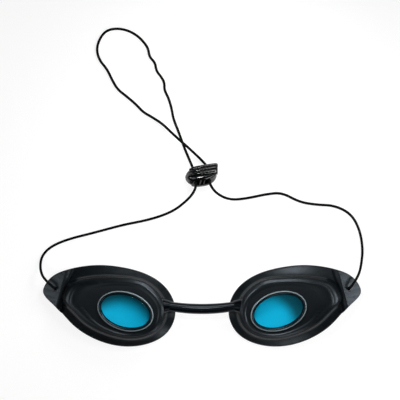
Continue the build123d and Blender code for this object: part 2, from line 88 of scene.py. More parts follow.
def linear(hex_colour, alpha=1.0):
    """Linear RGBA for an sRGB hex colour such as "#0c0d10"."""
    shares = [int(hex_colour[i:i + 2], 16) / 255 for i in (1, 3, 5)]
    curve = [c / 12.92 if c <= 0.04045 else ((c + 0.055) / 1.055) ** 2.4 for c in shares]
    return (*curve, alpha)


print("mid grey #808080 is", round(linear("#808080")[0], 3), "in linear light")

# %% Nodes and materials
def add(tree, kind, inputs=(), **settings):
    """Adds a node. Its inputs go by name or in order, and each is a value, a
    socket to link, or a node, whose first result is linked."""
    new = tree.nodes.new("ShaderNode" + kind)
    for name, value in settings.items():
        setattr(new, name, value)
    pairs = inputs.items() if isinstance(inputs, dict) else enumerate(inputs)
    for name, value in pairs:
        if isinstance(value, bpy.types.Node):
            value = next(result for result in value.outputs if result.enabled)
        if isinstance(value, bpy.types.NodeSocket):
            tree.links.new(value, new.inputs[name])
        else:
            new.inputs[name].default_value = value
    return new


def new_material(name):
    """An empty material and its tree."""
    material = bpy.data.materials.new(name)
    material.use_nodes = True
    material.node_tree.nodes.clear()
    return material, material.node_tree


def paint(piece, material):
    """Gives a piece one material."""
    if piece.material_slots:
        for place in piece.material_slots:
            place.link = "OBJECT"
            place.material = material
    else:
        piece.data.materials.append(material)


print("helpers ready")

# %% [markdown]
# ## The camera
#
# The goggles lie flat and are seen from straight above. A long lens keeps the
# view nearly parallel, so the flanks of the cups stay hidden, as they do on
# the real thing. The picture spans 168 mm at the cups' height.

# %% Camera straight above
PICTURE_WIDTH = 168.0  # mm across the picture
PICTURE_CENTRE = (-0.84, 44.6)  # mm, the point of the ground under its middle
CAMERA_HEIGHT = 900.0  # mm
CUP_MIDDLE = 4  # mm above the ground, where the width is measured


def in_scene(name, data):
    """A new object that stands in the scene."""
    new = bpy.data.objects.new(name, data)
    bpy.context.scene.collection.objects.link(new)
    return new


camera_data = bpy.data.cameras.new("camera")
camera_data.sensor_width = 36.0
camera_data.lens = camera_data.sensor_width * (CAMERA_HEIGHT - CUP_MIDDLE) / PICTURE_WIDTH
camera_data.clip_start = 0.01
camera_data.clip_end = 20.0
camera = in_scene("camera", camera_data)
camera.location = metres((*PICTURE_CENTRE, CAMERA_HEIGHT))
bpy.context.scene.camera = camera
bpy.context.scene.view_settings.view_transform = "Standard"
print("lens", round(camera_data.lens), "mm")

# %% [markdown]
# ## The cord's way
#
# The elastic cord is one millimetre thick and limp. It leaves each cup through
# a hole in the tab, drops over the edge to the ground and wanders to the cord
# lock, where both ends pass through and come back as one big loop. A NURBS
# curve of order 3 with these points bends as softly as real cord does, and it
# never leaves the corridor between them.

# %% Where the cord lock lies
LOCK_SWING = radians(9)  # its long axis rises to the right
LOCK_ROLL = radians(42)  # it lies rolled, with its exit face turned up
HOLE_SPACING = 5.8  # mm

lock_long = Vector((cos(LOCK_SWING), sin(LOCK_SWING), 0))
lock_up = Vector(
    (-sin(LOCK_SWING) * sin(LOCK_ROLL), cos(LOCK_SWING) * sin(LOCK_ROLL), cos(LOCK_ROLL))
)
lock_cord = lock_up.cross(lock_long)
lock_centre = Vector((-0.2, 54.7, 4.476))
hole_left = lock_centre - lock_long * HOLE_SPACING / 2
hole_right = lock_centre + lock_long * HOLE_SPACING / 2
print("holes of the lock at", *[[round(x, 1) for x in hole] for hole in (hole_left, hole_right)])

# %% Places on the routes, in millimetres
ON_GROUND = 0.55  # the middle of a cord that lies on the ground
TAB_HOLE = (61.59, 7.29)  # the hole in the right tab
LOCK_MOUTH = 5.2  # from the middle of the lock to where a side cord goes in
LOCK_INSIDE = 2.5  # from the middle of the lock, on the straight way through
INSIDE_RISE = 0.05
LEFT_CUT = (-33.5, 34.1)  # where each side cord lies still and is cut in two
RIGHT_CUT = (48.0, 42.6)


def on_ground(*places):
    """Route points on the ground."""
    return [(x, y, ON_GROUND) for x, y in places]


def into_lock(hole):
    """Route points from the lock's mouth to the middle of one of its holes."""
    inside = hole - lock_cord * LOCK_INSIDE + lock_up * INSIDE_RISE
    return [hole - lock_cord * LOCK_MOUTH, inside, hole]


print("from the lock's mouth to its middle", LOCK_MOUTH, "mm")

# %% The three routes, in millimetres
left_route = [
    (-TAB_HOLE[0], TAB_HOLE[1], 2.48), (-TAB_HOLE[0], TAB_HOLE[1], 5.62),
    (-62.9, 8.6, 7.5), (-65.3, 10.9, 7.1), (-67.3, 13.2, 4.7), (-68.2, 16.9, 2.0),
    *on_ground((-67.5, 21.1), (-63.8, 25.0), (-56.5, 28.1), (-45.5, 30.8), LEFT_CUT,
               (-23.5, 36.0), (-16.2, 38.2)),
    (-11.0, 40.7, 1.7), (-7.7, 43.3, 4.4), (-5.3, 45.5, 6.6), (-3.5, 47.8, 8.6),
    *into_lock(hole_left),
]
loop_route = [
    hole_left, hole_left + lock_cord * LOCK_INSIDE, (-3.9, 58.3, 1.2),
    *on_ground((-5.3, 61.5), (-7.0, 65.5), (-8.6, 69.8), (-10.2, 74.2), (-12.1, 78.9),
               (-12.8, 83.2), (-14.1, 87.6), (-15.9, 91.0), (-15.8, 94.0), (-17.1, 96.4),
               (-19.3, 99.1), (-19.7, 102.4), (-22.2, 105.0), (-22.6, 108.2),
               (-24.2, 110.8), (-27.2, 113.9), (-31.4, 116.2), (-36.2, 117.0),
               (-40.5, 116.0), (-43.3, 112.4), (-44.5, 108.0), (-43.3, 103.6),
               (-40.0, 99.7), (-38.0, 95.4), (-35.6, 91.2), (-31.8, 88.3),
               (-27.7, 84.8), (-24.9, 81.7)),
    (-21.0, 79.5, 0.8), (-16.7, 76.7, 1.6), (-13.2, 73.3, 3.0), (-9.9, 70.2, 4.4),
    (-6.2, 67.0, 4.4), (-2.6, 63.7, 2.7), (-0.1, 61.3, 1.1), (2.1, 58.9, 1.3),
    hole_right + lock_cord * LOCK_INSIDE, hole_right,
]
right_route = [
    (*TAB_HOLE, 2.48), (*TAB_HOLE, 5.62),
    (62.7, 8.8, 7.5), (64.6, 11.5, 7.1), (66.2, 14.4, 4.7), (67.2, 18.6, 2.0),
    *on_ground((67.8, 24.0), (66.6, 31.7), (63.1, 38.6), (56.0, 42.3), RIGHT_CUT,
               (40.9, 43.8), (33.8, 47.7), (27.3, 47.1), (20.5, 45.6)),
    (14.2, 44.7, 1.5), (10.4, 45.2, 4.0), (7.4, 46.6, 6.6), (5.0, 48.5, 8.4),
    *into_lock(hole_right),
]
print("route points", len(left_route), len(loop_route), len(right_route))

# %% Read a smooth line from each route
def smooth_line(route, resolution=12):
    """Points in metres along the NURBS curve that the route steers."""
    curve = bpy.data.curves.new("way", "CURVE")
    curve.dimensions = "3D"
    spline = curve.splines.new("NURBS")
    spline.points.add(len(route) - 1)
    for place, point in zip(spline.points, route):
        place.co = (*metres(point), 1.0)
    spline.order_u = 3
    spline.use_endpoint_u = True
    spline.resolution_u = resolution
    carrier = in_scene("way", curve)
    bpy.context.view_layer.update()
    line = bpy.data.meshes.new_from_object(carrier)
    points = [v.co.copy() for v in line.vertices]
    bpy.data.objects.remove(carrier)
    bpy.data.meshes.remove(line)
    return points


def length_of(points):
    """Way along a line of points, in metres."""
    return sum((b - a).length for a, b in zip(points, points[1:]))


left_line, loop_line, right_line = map(smooth_line, (left_route, loop_route, right_route))
for name, line in (("left", left_line), ("loop", loop_line), ("right", right_line)):
    print(name, "cord", round(length_of(line) / MM, 1), "mm")

# %% [markdown]
# ## A tube along a line
#
# Cord, nose bar, knots and spring are all round stock that follows a line.
# Blender can bevel a curve into a tube, but then its map isn't in metres. So
# one helper lays rings of points square to the line, turning each ring as
# little as it can, so that the surface never twists. It writes a UV map whose
# U is the way along and whose V is the way round, both in metres, so that a
# braid can be drawn at its true size. The lenses are closed stacks of rings
# too, so a smaller helper that skins the rings comes first.

# %% Skin for rings of points
def ring_skin(name, vertices, sides):
    """A smooth closed piece through rings that have this many points each."""
    faces = []
    for ring in range(0, len(vertices) - sides, sides):
        for k in range(sides):
            a, b = ring + k, ring + (k + 1) % sides
            faces.append((a, b, b + sides, a + sides))
    faces.append(tuple(reversed(range(sides))))
    faces.append(tuple(range(len(vertices) - sides, len(vertices))))
    mesh = bpy.data.meshes.new(name)
    mesh.from_pydata(vertices, [], faces)
    mesh.shade_smooth()
    return in_scene(name, mesh)


print("ring helper ready")

# %% Tube helper
HOLDING = 0.02 * MM  # a second ring this close to each end keeps its edge crisp


def tube(name, points, radius, sides=14, radii=None):
    """Mesh tube along points, with closed ends and a UV map in metres."""
    first = points[0] + (points[1] - points[0]).normalized() * HOLDING
    last = points[-1] + (points[-2] - points[-1]).normalized() * HOLDING
    points = [points[0], first, *points[1:-1], last, points[-1]]
    if radii:
        radii = [radii[0], *radii[:-1], radii[-1], radii[-1]]
    count = len(points)
    ways = [
        (points[min(i + 1, count - 1)] - points[max(i - 1, 0)]).normalized()
        for i in range(count)
    ]
    side = ways[0].orthogonal().normalized()
    vertices, along = [], [0.0]
    for i, (point, way) in enumerate(zip(points, ways)):
        if i:
            side = (side - way * side.dot(way)).normalized()
            along.append(along[-1] + (point - points[i - 1]).length)
        up = way.cross(side)
        reach = radii[i] if radii else radius
        for k in range(sides):
            turn = 2 * pi * k / sides
            vertices.append(point + (side * cos(turn) + up * sin(turn)) * reach)
    piece = ring_skin(name, vertices, sides)
    uvs = []
    for here, there in zip(along, along[1:]):
        for k in range(sides):
            low, high = k / sides * 2 * pi * radius, (k + 1) / sides * 2 * pi * radius
            uvs += [(here, low), (here, high), (there, high), (there, low)]
    uvs += [(0.0, 0.0)] * (2 * sides)  # both ends
    layer = piece.data.uv_layers.new(name="way")
    for place, uv in zip(layer.data, uvs):
        place.uv = uv
    return piece


print("tube helper ready")

# %% [markdown]
# ## The elastic cord
#
# Real cord of this kind is a bundle of rubber threads in a braided polyester
# sleeve. The braid could be modelled yarn by yarn, but the yarns are a fifth
# of a millimetre wide and hardly show, so the material draws them in relief.
# Each side cord is cut in two where it lies still on the ground.

# %% Braided polyester sleeve
# Black polyester yarn, braided: matt, and a little paler on the crowns of the
# yarns. The yarns of a 1 mm cord are 0.2 mm wide; they are drawn at that size.
YARN = 0.2 * MM


def braided_polyester():
    """Black braided sleeve, drawn on the tube's own UV map."""
    material, tree = new_material("Braided polyester, black")
    uv = add(tree, "UVMap", uv_map="way")
    parts = add(tree, "SeparateXYZ", [uv])
    crowns = []
    for direction in (1.0, -1.0):
        slant = add(tree, "Math", [parts.outputs["Y"], direction, parts.outputs["X"]],
                    operation="MULTIPLY_ADD")
        turns = add(tree, "Math", [slant, pi / (2 * YARN)], operation="MULTIPLY")
        wave = add(tree, "Math", [turns], operation="SINE")
        crowns.append(add(tree, "Math", [wave], operation="ABSOLUTE"))
    height = add(tree, "Math", crowns, operation="MAXIMUM")
    bump = add(tree, "Bump", {"Height": height, "Distance": 0.04 * MM, "Strength": 0.8})
    colour = add(tree, "Mix", {0: height, 6: linear("#020202"), 7: linear("#0a0a0b")},
                 data_type="RGBA")
    shader = add(tree, "BsdfPrincipled", {
        "Base Color": colour, "Roughness": 0.85, "Normal": bump, "Specular IOR Level": 0.08})
    add(tree, "OutputMaterial", {"Surface": shader})
    return material


cord_finish = braided_polyester()
print("material", cord_finish.name)

# %% Lay the cord
CORD = 1.0 * MM
BRAID_RELIEF = 0.05 * MM  # the crowns of the yarns stand out this far


def nearest(line, point):
    """Index of the line's point nearest to a place given in millimetres."""
    return min(range(len(line)), key=lambda i: (line[i] - metres(point)).length)


stretches = {}  # the line of each stretch, and the solid that it stands for
for side, line, place in (("left", left_line, LEFT_CUT), ("right", right_line, RIGHT_CUT)):
    cut = nearest(line, (*place, ON_GROUND))
    stretches[f"cord_{side}_by_cup"] = (line[:cut + 1], f"cord_{side}")
    stretches[f"cord_{side}_by_lock"] = (line[cut:], f"cord_{side}")
stretches["cord_big_loop"] = (loop_line, "cord_loop")
cords = {}
for name, (line, cad_node) in stretches.items():
    cords[name] = tube(name, line, CORD / 2 + BRAID_RELIEF)
    paint(cords[name], cord_finish)
    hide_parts(cad_node)
    print(name, round(length_of(line) / MM, 1), "mm")

for side, hole in (("left", hole_left), ("right", hole_right)):
    by_cup, by_lock = f"cord_{side}_by_cup", f"cord_{side}_by_lock"
    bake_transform(cords[by_cup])
    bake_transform(cords[by_lock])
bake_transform(cords["cord_big_loop"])
for name, cord in cords.items():
    line = stretches[name][0]
print("cord tied in", len(cords), "stretches")

# %% [markdown]
# ## Floor and light
#
# A pale floor and large soft lamps stand in for a light tent. A bright world
# would be simpler, but black satin parts show mostly what they mirror, so the
# lamps are placed for their reflections: the sky right above stays dim, which
# leaves the flat plateaus black, and low lamps on all sides light the slopes
# that face them.

# %% Pale floor
FLOOR_REACH = 3  # m from the middle to each edge
FLOOR_DROP = 0.05  # mm below the ground, so that nothing lies in the floor
BOARD_GLOW = 0.82  # what cameras, mirrors and glass see of the white on top

floor_mesh = bpy.data.meshes.new("floor")
corners = [(x * FLOOR_REACH, y * FLOOR_REACH, 0) for x, y in ((-1, -1), (1, -1), (1, 1), (-1, 1))]
floor_mesh.from_pydata(corners, [], [(0, 1, 2, 3)])
floor = in_scene("floor", floor_mesh)
floor.location = metres((0, 0, -FLOOR_DROP))
floor_paint, tree = new_material("Matt white board")
path = add(tree, "LightPath").outputs
seen = add(tree, "Math", [path["Is Camera Ray"], path["Is Glossy Ray"]], operation="MAXIMUM")
seen = add(tree, "Math", [seen, path["Is Transmission Ray"]], operation="MAXIMUM")
lift = add(tree, "Math", [seen, BOARD_GLOW], operation="MULTIPLY")
glow = add(tree, "Emission", {"Color": linear("#ffffff"), "Strength": lift})
board = add(tree, "BsdfDiffuse", {"Color": linear("#8c8c8c")})
both = add(tree, "AddShader", [board, glow])
add(tree, "OutputMaterial", {"Surface": both})
floor_mesh.materials.append(floor_paint)
print("floor laid")

# %% Let the floor give way
# When the goggles wrap round a face, the tabs swing below the floor. A marker
# rides at each tab's tip, and the floor stays below both of them.
SIDES = {"left": -1, "right": 1}  # and the sign of X there
TAB_TIP = (68.4, 8.0, 2.4)  # mm, right cup

for side, sign in SIDES.items():
    marker = in_scene(f"tab_tip_{side}", None)
    marker.parent = frame["bodies"][f"{side}_cup"]
    marker.location = metres((sign * TAB_TIP[0], TAB_TIP[1], TAB_TIP[2]))
    give = floor.constraints.new("FLOOR")
    give.target = marker
    give.floor_location = "FLOOR_NEGATIVE_Z"
print("floor gives way to", len(floor.constraints), "tabs")

# %% Lamps
SKY = 0.02  # strength of the dim world


def soft_lamp(name, place, aim, width, height, watts):
    """A rectangular soft box at a place, turned to aim, all in millimetres."""
    data = bpy.data.lights.new(name, "AREA")
    data.shape = "RECTANGLE"
    data.size = width * MM
    data.size_y = height * MM
    data.energy = watts
    lamp = in_scene(name, data)
    lamp.location = metres(place)
    look = metres(aim) - metres(place)
    lamp.rotation_euler = look.to_track_quat("-Z", "Y").to_euler()


world = bpy.data.worlds.new("tent")
world.use_nodes = True
world.node_tree.nodes["Background"].inputs["Color"].default_value = linear("#ffffff")
world.node_tree.nodes["Background"].inputs["Strength"].default_value = SKY
bpy.context.scene.world = world
# Four large lamps light the tent
soft_lamp("top_softbox", (0, -300, 950), (0, 20, 0), 420, 420, 0.35)
soft_lamp("far_softbox", (0, 900, 420), (0, 20, 0), 900, 300, 0.15)
soft_lamp("fill_right", (455, 475, 766), (0, 20, 0), 420, 420, 1.0)
soft_lamp("fill_left", (-455, -435, 766), (0, 20, 0), 420, 420, 0.9)
# Four low ones draw the highlights on the slopes, and a small one the bar's
soft_lamp("key_lamp", (20, 104, 78), (0, 0, 5), 50, 50, 0.09)
soft_lamp("left_lamp", (-160, 0, 120), (0, 0, 5), 60, 60, 0.05)
soft_lamp("right_lamp", (160, 0, 120), (0, 0, 5), 60, 60, 0.11)
soft_lamp("low_lamp", (52, -92, 50), (10, 0, 5), 40, 40, 0.022)
soft_lamp("bar_lamp", (-0.5, 24, 68), (-0.5, -1, 6), 10, 8, 0.016)

# %% [markdown]
# ## The eye cups
#
# The cups are moulded in one piece from soft black PVC. The mould is
# spark-eroded, which leaves a fine satin grain, and it was polished by hand
# from the middle outwards, which leaves faint streaks across the band. Only
# the raised ring round the lens is left glossy. The marks could be painted on
# a UV map, but they all follow the lens, so the material works them out from
# where a place lies: it measures from the lens centre of either cup, with the
# sign of X dropped, because the cups mirror each other and share it.

# %% Places measured from the lens centre
LENS_CENTRE = (31.95, -1.75)  # mm, right cup
LENS_TILT = radians(17)  # its long axis rises towards the temple
LENS_HALF = (10.4, 6.5)  # mm, half length and half height


def from_lens_centre(tree):
    """Where a place is, in metres: all of it, outwards, upwards, and its height."""
    place = add(tree, "TexCoord").outputs["Object"]
    parts = add(tree, "SeparateXYZ", [place]).outputs
    aside = add(tree, "Math", [parts["X"]], operation="ABSOLUTE")
    outwards = add(tree, "Math", [aside, LENS_CENTRE[0] * MM], operation="SUBTRACT")
    upwards = add(tree, "Math", [parts["Y"], LENS_CENTRE[1] * MM], operation="SUBTRACT")
    return place, outwards, upwards, parts["Z"]


def turned(tree, way, other_way, angle):
    """How far a place lies along a way that is turned towards the other."""
    part = add(tree, "Math", [other_way, sin(angle)], operation="MULTIPLY")
    return add(tree, "Math", [way, cos(angle), part], operation="MULTIPLY_ADD")


def squared(tree, way, other_way):
    """The square of how far a place lies from the middle."""
    part = add(tree, "Math", [other_way, other_way], operation="MULTIPLY")
    return add(tree, "Math", [way, way, part], operation="MULTIPLY_ADD")


print("lens centre", LENS_CENTRE)

# %% The lens ring and its painted highlight
RING_WIDTH = 1.6  # mm from the lens to an oval just inside the ring's edge
RING_REACH = 1.05  # the mask is larger than that oval by the root of this
RING_ABOVE = 10.3  # mm above the ground; the dish round the ring lies lower
# The pale line on the ring is a painted highlight: it stands for the light that the ring's
# rounded top catches.
PAINTED_HIGHLIGHT_AT = 1.4  # mm outside the lens, the line where the ring is rubbed pale
PAINTED_HIGHLIGHT_EDGE = (0.12, 0.36)  # mm from that line, where the pale fades and ends


def oval_shares(tree, along, across, halves):
    """A place as shares of an oval's half length and half height."""
    return [add(tree, "Math", [way, half], operation="DIVIDE")
            for way, half in zip((along, across), halves)]


def ring_and_highlight_masks(tree, outwards, upwards, height):
    """Masks of the glossy ring round the lens and of the painted highlight along its top."""
    along = turned(tree, outwards, upwards, LENS_TILT)
    across = turned(tree, upwards, outwards, -LENS_TILT)
    halves = [(half + RING_WIDTH) * MM for half in LENS_HALF]
    outline = squared(tree, *oval_shares(tree, along, across, halves))
    inside = add(tree, "Math", [outline, RING_REACH], operation="LESS_THAN")
    raised = add(tree, "Math", [height, RING_ABOVE * MM], operation="GREATER_THAN")
    ring = add(tree, "Math", [inside, raised], operation="MULTIPLY")
    # How far a place is from the oval of the painted highlight: its value over its steepness
    halves = [(half + PAINTED_HIGHLIGHT_AT) * MM for half in LENS_HALF]
    shares = oval_shares(tree, along, across, halves)
    line = add(tree, "Math", [squared(tree, *shares)], operation="SQRT")
    steep = squared(tree, *oval_shares(tree, *shares, halves))
    steep = add(tree, "Math", [steep], operation="SQRT")
    off_line = add(tree, "Math", [line, 1.0], operation="SUBTRACT")
    off_line = add(tree, "Math", [off_line], operation="ABSOLUTE")
    off_line = add(tree, "Math", [off_line, line], operation="MULTIPLY")
    off_line = add(tree, "Math", [off_line, steep], operation="DIVIDE")
    painted_highlight = add(tree, "MapRange", {
        "Value": off_line, "From Min": PAINTED_HIGHLIGHT_EDGE[0] * MM, "From Max": PAINTED_HIGHLIGHT_EDGE[1] * MM,
        "To Min": 1.0, "To Max": 0.0})
    return ring, add(tree, "Math", [painted_highlight, ring], operation="MULTIPLY")


print("ring rubbed", PAINTED_HIGHLIGHT_AT, "mm outside the lens")

# %% Polishing streaks
# The streaks run across the low band and the tabs, about 2 degrees apart.
STREAK = radians(2.0)
STREAK_LENGTH = 12 * MM


def polishing_streaks(tree, outwards, upwards):
    """Noise that is fine round the lens centre and long away from it."""
    turn = add(tree, "Math", [upwards, outwards], operation="ARCTAN2")
    reach = add(tree, "Math", [squared(tree, upwards, outwards)], operation="SQRT")
    # In this space a streak is about one unit wide and one long
    polar = add(tree, "CombineXYZ", [
        add(tree, "Math", [turn, STREAK], operation="DIVIDE"),
        add(tree, "Math", [reach, STREAK_LENGTH], operation="DIVIDE")])
    return add(tree, "TexNoise", {"Vector": polar, "Scale": 1.0, "Detail": 2.0})


print("streaks in a full turn", round(2 * pi / STREAK))

# %% Relief of the cups
# The grain of a spark-eroded mould is about 0.1 mm, too fine to show here, so
# it is drawn at 0.35 mm. The streaks fade on the way up to the crest. The
# shoulder below the crest looks rounder when its own height is bumped back.
GRAIN = 0.35 * MM
BAND = (6.5, 8.5)  # mm above the ground, where the streaks start to fade and end
STREAK_DEPTH = (2.6, 0.4)  # on the band and above it, in depths of the relief
GRAIN_DEPTH = 0.5
RELIEF = 0.04 * MM
SHOULDER = (7.2, 10.5)  # mm, lowest and highest point of the steep shoulder
SHOULDER_EASE = 0.6  # share of the shoulder's steepness that is bumped back


def cup_relief(tree, place, height, streaks):
    """The grain and the streaks on an eased shoulder, for a shader's normal."""
    grain = add(tree, "TexNoise", {
        "Vector": place, "Scale": 1 / GRAIN, "Detail": 3.0, "Roughness": 0.6})
    depth = add(tree, "MapRange", {
        "Value": height, "From Min": BAND[0] * MM, "From Max": BAND[1] * MM,
        "To Min": STREAK_DEPTH[0], "To Max": STREAK_DEPTH[1]})
    relief = add(tree, "Math", [grain, GRAIN_DEPTH], operation="MULTIPLY")
    relief = add(tree, "Math", [streaks, depth, relief], operation="MULTIPLY_ADD")
    level = add(tree, "Math", [height, SHOULDER[0] * MM], operation="MAXIMUM")
    level = add(tree, "Math", [level, SHOULDER[1] * MM], operation="MINIMUM")
    level = add(tree, "Math", [level, -1.0], operation="MULTIPLY")
    soft = add(tree, "Bump", {"Height": level, "Distance": SHOULDER_EASE, "Strength": 1.0})
    return add(tree, "Bump", {
        "Height": relief, "Distance": RELIEF, "Strength": 0.7, "Normal": soft})


print("grain drawn at", round(GRAIN / MM, 2), "mm")

# %% Spark-textured PVC
# Soft PVC, IOR 1.53, satin: it gives wide, weak highlights with soft edges.
SMEAR = 9 * MM  # size of the clouds that handling leaves
CREST = (0.505, 0.56)  # pointiness where wear starts and where it is full
WORN = 0.5  # share of the paler colour at full wear
SMOOTHEST = 0.20  # roughness of the satin between its streaks and clouds
STREAK_ROUGH = 0.16  # added by a streak
SMEAR_ROUGH = 0.08  # added by a cloud
RING_ROUGH = 0.2


def satin_pvc():
    """Black satin PVC with grain, polishing streaks and a glossy lens ring."""
    material, tree = new_material("Soft PVC, spark-textured, black")
    place, outwards, upwards, height = from_lens_centre(tree)
    ring, painted_highlight = ring_and_highlight_masks(tree, outwards, upwards, height)
    streaks = polishing_streaks(tree, outwards, upwards)
    smear = add(tree, "TexNoise", {"Vector": place, "Scale": 1 / SMEAR, "Detail": 2.0})
    # Colour: cloudy, worn a little paler on crests, and a pale line on the ring that is a painted
    # highlight
    worn = add(tree, "MapRange", {
        "Value": add(tree, "NewGeometry").outputs["Pointiness"],
        "From Min": CREST[0], "From Max": CREST[1], "To Min": 0.0, "To Max": WORN})
    shade = add(tree, "Mix", {0: smear, 6: linear("#040709"), 7: linear("#080d10")},
                data_type="RGBA")
    shade = add(tree, "Mix", {0: worn, 6: shade, 7: linear("#181c20")}, data_type="RGBA")
    # Painted highlight: a pale line along the top of the ring
    shade = add(tree, "Mix", {0: painted_highlight, 6: shade, 7: linear("#7c898e")}, data_type="RGBA")
    # Roughness: uneven in the streaks and clouds, but even on the ring
    rough = add(tree, "Math", [streaks, STREAK_ROUGH, SMOOTHEST], operation="MULTIPLY_ADD")
    rough = add(tree, "Math", [smear, SMEAR_ROUGH, rough], operation="MULTIPLY_ADD")
    rough = add(tree, "Mix", {0: ring, 2: rough, 3: RING_ROUGH}, data_type="FLOAT")
    relief = cup_relief(tree, place, height, streaks)
    shader = add(tree, "BsdfPrincipled", {
        "Base Color": shade, "Roughness": rough, "Normal": relief, "IOR": 1.53,
        "Specular IOR Level": 0.36, "Specular Tint": linear("#e4f3ff")})
    add(tree, "OutputMaterial", {"Surface": shader})
    return material


cup_finish = satin_pvc()
print("material", cup_finish.name)

# %% [markdown]
# ## The lenses
#
# Each lens is a thick oval plate of polycarbonate, tinted blue, with a frosted
# back that hides the eye. The front is clear and polished, so the ring's soft
# shadow falls on the back, which is part of why the upper edge goes dark; the
# rest of that dark is shade painted into the back's colour. The solid has the
# right outline but only one skin, so each lens is rebuilt as a stack of ovals
# with three finishes: clear front and sides, frosted back, and a black rim
# whose dark line inside the ring is painted shade.

# %% Oval plate helper
def oval_plate(name, levels, centre, tilt, sides=112):
    """Closed plate through level ovals, each (half length, half height, z) in mm."""
    vertices = []
    for half_length, half_height, z in levels:
        for k in range(sides):
            turn = 2 * pi * k / sides
            along, across = half_length * cos(turn), half_height * sin(turn)
            vertices.append(metres((
                centre[0] + along * cos(tilt) - across * sin(tilt),
                centre[1] + along * sin(tilt) + across * cos(tilt), z)))
    return ring_skin(name, vertices, sides)


print("oval helper ready")

# %% Clear front
# Polished polycarbonate, IOR 1.58, lets light through with a blue tint and
# keeps a thin mirror of the room on its surface. Wiping leaves it uneven at
# 2.5 mm.
WIPE = 2.5 * MM
MIRROR = 0.06  # share of the front that is gloss; the rest is see-through


def clear_polycarbonate():
    """See-through blue plastic with a polished surface."""
    material, tree = new_material("Polycarbonate, tinted, polished")
    clear = add(tree, "BsdfTransparent", {"Color": linear("#b4fcff")})
    place = add(tree, "TexCoord").outputs["Object"]
    wipe = add(tree, "TexNoise", {"Vector": place, "Scale": 1 / WIPE, "Detail": 3.0})
    rough = add(tree, "MapRange", {"Value": wipe, "To Min": 0.05, "To Max": 0.12})
    gloss = add(tree, "BsdfPrincipled", {
        "Base Color": linear("#003c50"), "Roughness": rough, "IOR": 1.58})
    mix = add(tree, "MixShader", [MIRROR, clear, gloss])
    add(tree, "OutputMaterial", {"Surface": mix})
    return material


lens_front = clear_polycarbonate()
print("material", lens_front.name)

# %% Frosted back
# The same plastic, blasted on the inside, scatters all light back: matt, with
# a cloudy variation of a few millimetres. Shade is painted into its colour: it
# is clear blue at the lower edge and darkens towards the upper one, where the
# ring shades it. The painted shade runs a different way on each lens.
PAINTED_SHADE_SPAN = (-0.1, 8.4)  # mm from the lens centre, start and end of the fade
PAINTED_SHADE_BOW = 20.0  # mm; the fade comes lower at both ends than in the middle
PAINTED_SHADE_WAYS = {"left": radians(78), "right": radians(48)}  # from right towards up
CLOUD = 4 * MM
FROST = 0.3 * MM  # size of the blasted grain


def frosted_polycarbonate(side, sign):
    """Matt blue back of one lens, with painted shade that darkens it towards the upper edge along
    its own way.
    """
    material, tree = new_material(f"Polycarbonate, tinted, frosted, {side}")
    place = add(tree, "TexCoord").outputs["Object"]
    parts = add(tree, "SeparateXYZ", [place]).outputs
    right = add(tree, "Math", [parts["X"], sign * LENS_CENTRE[0] * MM], operation="SUBTRACT")
    upwards = add(tree, "Math", [parts["Y"], LENS_CENTRE[1] * MM], operation="SUBTRACT")
    reach = turned(tree, right, upwards, PAINTED_SHADE_WAYS[side])
    away = squared(tree, right, upwards)
    reach = add(tree, "Math", [away, 1 / (PAINTED_SHADE_BOW * MM), reach], operation="MULTIPLY_ADD")
    painted_shade = add(tree, "MapRange", {
        "Value": reach, "From Min": PAINTED_SHADE_SPAN[0] * MM, "From Max": PAINTED_SHADE_SPAN[1] * MM,
        "To Min": 0.0, "To Max": 1.0}, interpolation_type="SMOOTHSTEP")
    cloud = add(tree, "TexNoise", {"Vector": place, "Scale": 1 / CLOUD, "Detail": 2.0})
    frost = add(tree, "TexNoise", {"Vector": place, "Scale": 1 / FROST, "Detail": 2.0})
    shade = add(tree, "Mix", {0: cloud, 6: linear("#00acd3"), 7: linear("#00b4db")},
                data_type="RGBA")
    # Painted shade: the colour darkens towards the upper edge, where the ring shades the back
    shade = add(tree, "Mix", {0: painted_shade, 6: shade, 7: linear("#004a5a")}, data_type="RGBA")
    bump = add(tree, "Bump", {"Height": frost, "Distance": 0.01 * MM, "Strength": 0.4})
    shader = add(tree, "BsdfPrincipled", {
        "Base Color": shade, "Roughness": 0.8, "IOR": 1.58, "Normal": bump})
    add(tree, "OutputMaterial", {"Surface": shader})
    return material


lens_backs = {side: frosted_polycarbonate(side, sign) for side, sign in SIDES.items()}
print("materials", [material.name for material in lens_backs.values()])

# %% Blackened flange
# The rim that sits in the cup is coloured matt black, so that no light creeps
# round the lens. Where it shows in the gap inside the ring, its dark line is
# painted shade. A fine mottle in its roughness keeps it matt.
MOTTLE = 0.5 * MM


def black_rim_shade():
    """Matt black rim, which also paints the shade in the gap inside the ring."""
    material, tree = new_material("Lens rim, matt black, painted shade")
    place = add(tree, "TexCoord").outputs["Object"]
    mottle = add(tree, "TexNoise", {"Vector": place, "Scale": 1 / MOTTLE, "Detail": 2.0})
    rough = add(tree, "MapRange", {"Value": mottle, "To Min": 0.7, "To Max": 0.9})
    # Painted shade: the black stands for the shade in the gap between ring and lens
    shader = add(tree, "BsdfPrincipled", {
        "Base Color": linear("#050607"), "Roughness": rough, "Specular IOR Level": 0.2})
    add(tree, "OutputMaterial", {"Surface": shader})
    return material


lens_rim = black_rim_shade()
print("material", lens_rim.name)

# %% Two lenses
# Each level is how far it stands out from the lens face's outline, and its
# height: the flange, the straight side, the rounded edge and the flat front.
FLANGE = 1.15  # mm that the hidden flange is wider than the face
BACK_BELOW = 8.4  # mm above the ground; faces below it are the frosted back
DARK_RIM_BELOW = 9.64  # mm above the ground; other faces below it are the flange
LENS_LEVELS = (
    (FLANGE, 8.36), (FLANGE, 9.62), (0.0, 9.64), (0.0, 10.45), (-0.04, 10.64),
    (-0.14, 10.77), (-0.32, 10.83), (-1.2, 10.845), (-4.5, 10.85),
)

